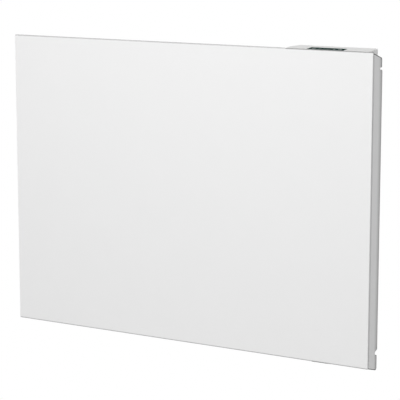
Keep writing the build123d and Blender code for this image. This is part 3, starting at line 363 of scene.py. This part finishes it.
def plated_metal(name, colour, roughness, spangle, stretch=(1, 1, 1)):
    """Bare or plated metal with a crystal spangle and fine scratches."""
    metal = Finish(name, colour, roughness, Metallic=1.0)
    crystals = metal.remap(metal.cells(spangle, stretch), 0.0, 1.0)
    metal.vary_colour(crystals, 0.08)
    scratches = metal.noise(0.6 * MM, detail=4.0, stretch=(1, 1, 0.08))
    metal.vary_roughness(scratches, 0.10)
    metal.raise_grain(scratches, 0.004 * MM)
    return metal


def make_zinc_steel():
    return plated_metal("zinc_steel", (0.66, 0.67, 0.69), 0.36, 2.2 * MM)


def make_bright_aluminium():
    """Rolled sheet: fine lines along its length."""
    metal = Finish("bright_aluminium", (0.86, 0.87, 0.88), 0.22, Metallic=1.0)
    lines = metal.noise(0.8 * MM, detail=5.0, stretch=(0.02, 1, 1))
    metal.vary_colour(lines, 0.05)
    metal.vary_roughness(lines, 0.07)
    metal.raise_grain(lines, 0.003 * MM)
    return metal


def make_aluminium():
    """Extrusion: die lines along X and a grey oxide bloom."""
    metal = Finish("aluminium", (0.74, 0.75, 0.76), 0.4, Metallic=1.0)
    lines = metal.noise(0.5 * MM, detail=4.0, stretch=(0.01, 1, 1))
    metal.vary_colour(metal.noise(9 * MM, detail=4.0), 0.07)
    metal.vary_roughness(lines, 0.09)
    metal.raise_grain(lines, 0.008 * MM)
    return metal


def make_ceramic():
    body = Finish("ceramic", (0.86, 0.83, 0.76), 0.55)
    body.vary_colour(body.noise(0.7 * MM, detail=5.0), 0.05)
    body.vary_roughness(body.noise(2 * MM), 0.08)
    body.raise_grain(body.noise(0.4 * MM), 0.01 * MM)
    return body


def make_sheath_steel():
    """Heating rod: steel tinted straw and blue-grey by heat."""
    metal = Finish("sheath_steel", (0.50, 0.47, 0.43), 0.4, Metallic=1.0)
    heat = metal.noise(22 * MM, detail=2.0, stretch=(1, 0.3, 0.3))
    tint = metal.mix_colours(heat, (0.55, 0.45, 0.33), (0.40, 0.42, 0.48))
    metal.paint(tint)
    metal.vary_roughness(metal.noise(1.2 * MM, detail=3.0), 0.08)
    return metal


def moulded_plastic(name, colour, roughness, grain=SPARK_GRAIN, depth=SPARK_DEPTH):
    """Moulded plastic with a fine spark-eroded grain."""
    plastic = Finish(name, colour, roughness)
    plastic.vary_colour(plastic.noise(24 * MM, detail=2.0), 0.012)
    texture = plastic.noise(grain, detail=2.0)
    plastic.vary_roughness(texture, 0.06)
    plastic.raise_grain(texture, depth)
    return plastic


def make_dark_plastic():
    return moulded_plastic("dark_plastic", (0.035, 0.035, 0.038), 0.45)


def make_white_plastic():
    return moulded_plastic("white_plastic", (0.84, 0.84, 0.835), 0.42)


def make_bead_resin():
    return moulded_plastic("bead_resin", (0.02, 0.05, 0.035), 0.22, grain=1.5 * MM)


def make_relay_plastic():
    return moulded_plastic("relay_plastic", (0.06, 0.13, 0.42), 0.32)


def make_rocker_plastic():
    return moulded_plastic("rocker_plastic", (0.03, 0.03, 0.032), 0.28, depth=0.004 * MM)


def make_rubber():
    return moulded_plastic("rubber", grey(0.03), 0.7, grain=0.6 * MM, depth=0.02 * MM)


def make_dark_glass():
    """Touch glass with a green-black print under it."""
    glass = Finish(
        "dark_glass", (0.045, 0.082, 0.075), 0.10, IOR=1.45, Specular_IOR_Level=0.6
    )
    print_grain = glass.noise(6 * MM, detail=1.0)
    deep, pale = (0.041, 0.075, 0.069), (0.050, 0.090, 0.082)
    glass.paint(glass.mix_colours(print_grain, deep, pale))
    glass.vary_roughness(glass.noise(14 * MM, detail=2.0), 0.02)
    return glass


def make_circuit_board():
    """Green solder mask over copper tracks."""
    board = Finish("circuit_board", (0.03, 0.20, 0.09), 0.35)
    tracks = add_node(board.tree, "TexBrick", Scale=1.0, Mortar_Size=0.0004)
    tracks.inputs["Brick Width"].default_value = 5.2 * MM
    tracks.inputs["Row Height"].default_value = 1.7 * MM
    tracks.inputs["Color1"].default_value = (0.02, 0.16, 0.07, 1)
    tracks.inputs["Color2"].default_value = (0.03, 0.19, 0.09, 1)
    tracks.inputs["Mortar"].default_value = (0.07, 0.31, 0.14, 1)
    turned = add_node(board.tree, "Mapping")
    turned.inputs["Rotation"].default_value = (radians(90), 0, 0)
    board.tree.links.new(board.places.outputs["Object"], turned.inputs["Vector"])
    board.tree.links.new(turned.outputs["Vector"], tracks.inputs["Vector"])
    board.paint(tracks.outputs["Color"])
    board.raise_grain(tracks.outputs["Fac"], 0.03 * MM)
    return board


def make_brass():
    return plated_metal("brass", (0.72, 0.55, 0.26), 0.3, 4 * MM)


def make_spring_steel():
    return plated_metal("spring_steel", (0.52, 0.53, 0.56), 0.25, 6 * MM, stretch=(1, 1, 0.2))


def insulation(name, colour):
    """Smooth wire insulation with faint draw marks."""
    cover = Finish(name, colour, 0.35)
    cover.vary_colour(cover.noise(5 * MM, detail=2.0), 0.04)
    cover.raise_grain(cover.noise(0.5 * MM), 0.005 * MM)
    return cover


def make_brown_wire():
    return insulation("brown_wire", (0.14, 0.06, 0.025))


def make_blue_wire():
    return insulation("blue_wire", (0.03, 0.10, 0.42))


def make_glass_sleeve_wire():
    """Woven glass sleeve: crossing threads."""
    sleeve = Finish("glass_sleeve_wire", (0.80, 0.78, 0.72), 0.6, Sheen_Weight=0.2)
    weave = sleeve.cells(0.55 * MM, output="Distance")
    sleeve.vary_colour(weave, 0.12)
    sleeve.raise_grain(weave, 0.08 * MM)
    return sleeve


def printing_ink(name, colour):
    """Screen-printed ink with a trace of the mesh it was pressed through."""
    ink = Finish(name, colour, 0.5)
    ink.vary_colour(ink.noise(1.5 * MM, detail=2.0), 0.03)
    ink.raise_grain(ink.noise(0.12 * MM), 0.002 * MM)
    return ink.material


FINISHES = {
    "white_paint": make_white_paint,
    "casing_paint": make_casing_paint,
    "grille_paint": make_grille_paint,
    "bracket_paint": make_bracket_paint,
    "zinc_steel": make_zinc_steel,
    "bright_aluminium": make_bright_aluminium,
    "aluminium": make_aluminium,
    "ceramic": make_ceramic,
    "sheath_steel": make_sheath_steel,
    "dark_plastic": make_dark_plastic,
    "white_plastic": make_white_plastic,
    "bead_resin": make_bead_resin,
    "relay_plastic": make_relay_plastic,
    "rocker_plastic": make_rocker_plastic,
    "rubber": make_rubber,
    "dark_glass": make_dark_glass,
    "circuit_board": make_circuit_board,
    "brass": make_brass,
    "spring_steel": make_spring_steel,
    "brown_wire": make_brown_wire,
    "blue_wire": make_blue_wire,
    "glass_sleeve_wire": make_glass_sleeve_wire,
}


def finish_nodes():
    """Gives every built node the finish that its material slot names."""
    made = {slot: make().material for slot, make in FINISHES.items()}
    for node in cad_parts.values():
        for slot in node.material_slots:
            slot.material = made[slot.material.name.split(".")[0]]


# --- printed marks -------------------------------------------------------------------------------
def add_bar(shape, x, y, length, turn=0.0, width=INK_STROKE):
    """A flat bar on the XY plane, in metres, turned by some degrees."""
    bar = bmesh.ops.create_grid(shape, x_segments=1, y_segments=1, size=0.5)["verts"]
    turned = Matrix.Rotation(radians(turn), 4, "Z") @ Matrix.Diagonal((length, width, 1, 1))
    bmesh.ops.transform(shape, matrix=Matrix.Translation((x, y, 0)) @ turned, verts=bar)


def add_arc(shape, x, y, radius, start=0.0, sweep=360.0, width=INK_STROKE):
    """A flat arc: a short edge that points out from the centre, spun about it."""
    out = Vector((cos(radians(start)), sin(radians(start)), 0))
    centre = Vector((x, y, 0))
    ends = [shape.verts.new(centre + out * (radius + way * width / 2)) for way in (-1, 1)]
    bmesh.ops.spin(
        shape,
        geom=[*ends, shape.edges.new(ends)],
        cent=centre,
        axis=(0, 0, 1),
        angle=radians(sweep),
        steps=max(6, int(sweep / 10)),
        use_merge=sweep >= 360,
    )


def draw_power(shape, x, y):
    """A ring with a gap at the top and a bar in the gap."""
    add_arc(shape, x, y, RING_RADIUS, start=125, sweep=290)
    add_bar(shape, x, y + 1.5 * MM, 2.0 * MM, turn=90)


def draw_minus(shape, x, y):
    add_bar(shape, x, y, SIGN_WIDTH)


def draw_plus(shape, x, y):
    add_bar(shape, x, y, SIGN_WIDTH)
    reach = (SIGN_WIDTH - INK_STROKE) / 2
    for way in (-1, 1):
        add_bar(shape, x, y + way * (INK_STROKE + reach) / 2, reach, turn=90)


def draw_clock(shape, x, y):
    """A ring with two hands."""
    add_arc(shape, x, y, RING_RADIUS)
    add_bar(shape, x, y + 0.5 * MM, 1.3 * MM, turn=90)
    add_bar(shape, x + 0.65 * MM, y, 0.8 * MM)


def draw_digit(shape, x, y):
    """An unlit seven-segment digit."""
    across, up, bar = 1.7 * MM, 1.9 * MM, 0.6 * MM
    for row in (-1, 0, 1):
        add_bar(shape, x, y + 2 * row * up, 2 * across - bar, width=bar)
        for side in (-1, 1):
            if row:
                place = (x + side * across, y + row * up)
                add_bar(shape, *place, 2 * up - bar, turn=90, width=bar)


def surface_plane(node, start, towards, up):
    """The plane where a ray meets a built piece; its y runs along up, its z out of the piece."""
    hit, place, normal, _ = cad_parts[node].ray_cast(start, towards)
    assert hit, f"no surface of {node} there"
    across = Vector(up).cross(normal).normalized()
    axes = Matrix((across, normal.cross(across), normal)).transposed().to_4x4()
    return Matrix.Translation(place) @ axes


def print_marks(name, marks, plane, ink, body):
    """Prints marks, each a drawing with its place on the plane, as a thin layer of ink."""
    shape = bmesh.new()
    for draw, x, y in marks:
        draw(shape, x, y)
    raised = bmesh.ops.extrude_face_region(shape, geom=list(shape.faces), use_keep_orig=True)
    top = [part for part in raised["geom"] if isinstance(part, bmesh.types.BMVert)]
    bmesh.ops.translate(shape, verts=top, vec=(0, 0, INK_THICKNESS))
    bmesh.ops.recalc_face_normals(shape, faces=shape.faces)
    # Extruding makes the side faces in no fixed order, so they are given one.
    shape.faces.sort(key=lambda face: face.calc_center_median().dot(FACE_ORDER))
    bmesh.ops.transform(shape, matrix=plane, verts=shape.verts)
    piece = finish_mesh(shape, name)
    piece.data.materials.append(ink)
    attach(piece, body)


def print_touch_legend():
    """Symbols on the glass: power, minus, two digits, plus and timer, their tops to the wall."""
    low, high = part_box("display_window")
    middle = (low + high) / 2
    above = (middle.x, middle.y, high.z + 10 * MM)
    plane = surface_plane("display_window", above, (0, 0, -1), (0, 1, 0))
    keys = [
        (draw_power, -OUTER_KEY, 0),
        (draw_minus, -INNER_KEY, 0),
        (draw_plus, INNER_KEY, 0),
        (draw_clock, OUTER_KEY, 0),
    ]
    pale = printing_ink("legend_ink", (0.62, 0.66, 0.64))
    print_marks("touch_legend", keys, plane, pale, "heater")
    digits = [(draw_digit, way * DIGIT_PLACE, 0) for way in (-1, 1)]
    unlit = printing_ink("unlit_segments", (0.075, 0.095, 0.088))
    print_marks("unlit_digits", digits, plane, unlit, "heater")


def draw_on(shape, x, y):
    add_bar(shape, x, y, ON_LENGTH, turn=90)


def draw_off(shape, x, y):
    add_arc(shape, x, y, OFF_RADIUS)


def print_switch_marks():
    """I and O on the two halves of the mains rocker, read from below in front."""
    low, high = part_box("switch_rocker")
    slope = radians(UNDERSIDE_SLOPE)
    out = Vector((0, -sin(slope), -cos(slope)))
    pale = printing_ink("switch_ink", grey(0.72))
    for name, draw, side in (("on_mark", draw_on, -1), ("off_mark", draw_off, 1)):
        start = (low + high) / 2 + Vector((side * ROCKER_MARK_PLACE, 0, 0)) + 20 * MM * out
        plane = surface_plane("switch_rocker", start, -out, (0, -1, 0))
        print_marks(name, [(draw, 0, 0)], plane, pale, "switch_rocker")


set_camera()
light_surroundings()
add_softbox("key_lamp", KEY_PLACE, KEY_TARGET, KEY_SIZE, KEY_POWER)
add_softbox("back_lamp", BACK_PLACE, BACK_TARGET, KEY_SIZE, BACK_POWER)
add_softbox("top_lamp", TOP_PLACE, TOP_TARGET, TOP_SIZE, TOP_POWER)
lay_floor()
finish_nodes()
print_touch_legend()
print_switch_marks()

bpy.context.scene.view_settings.view_transform = "Standard"
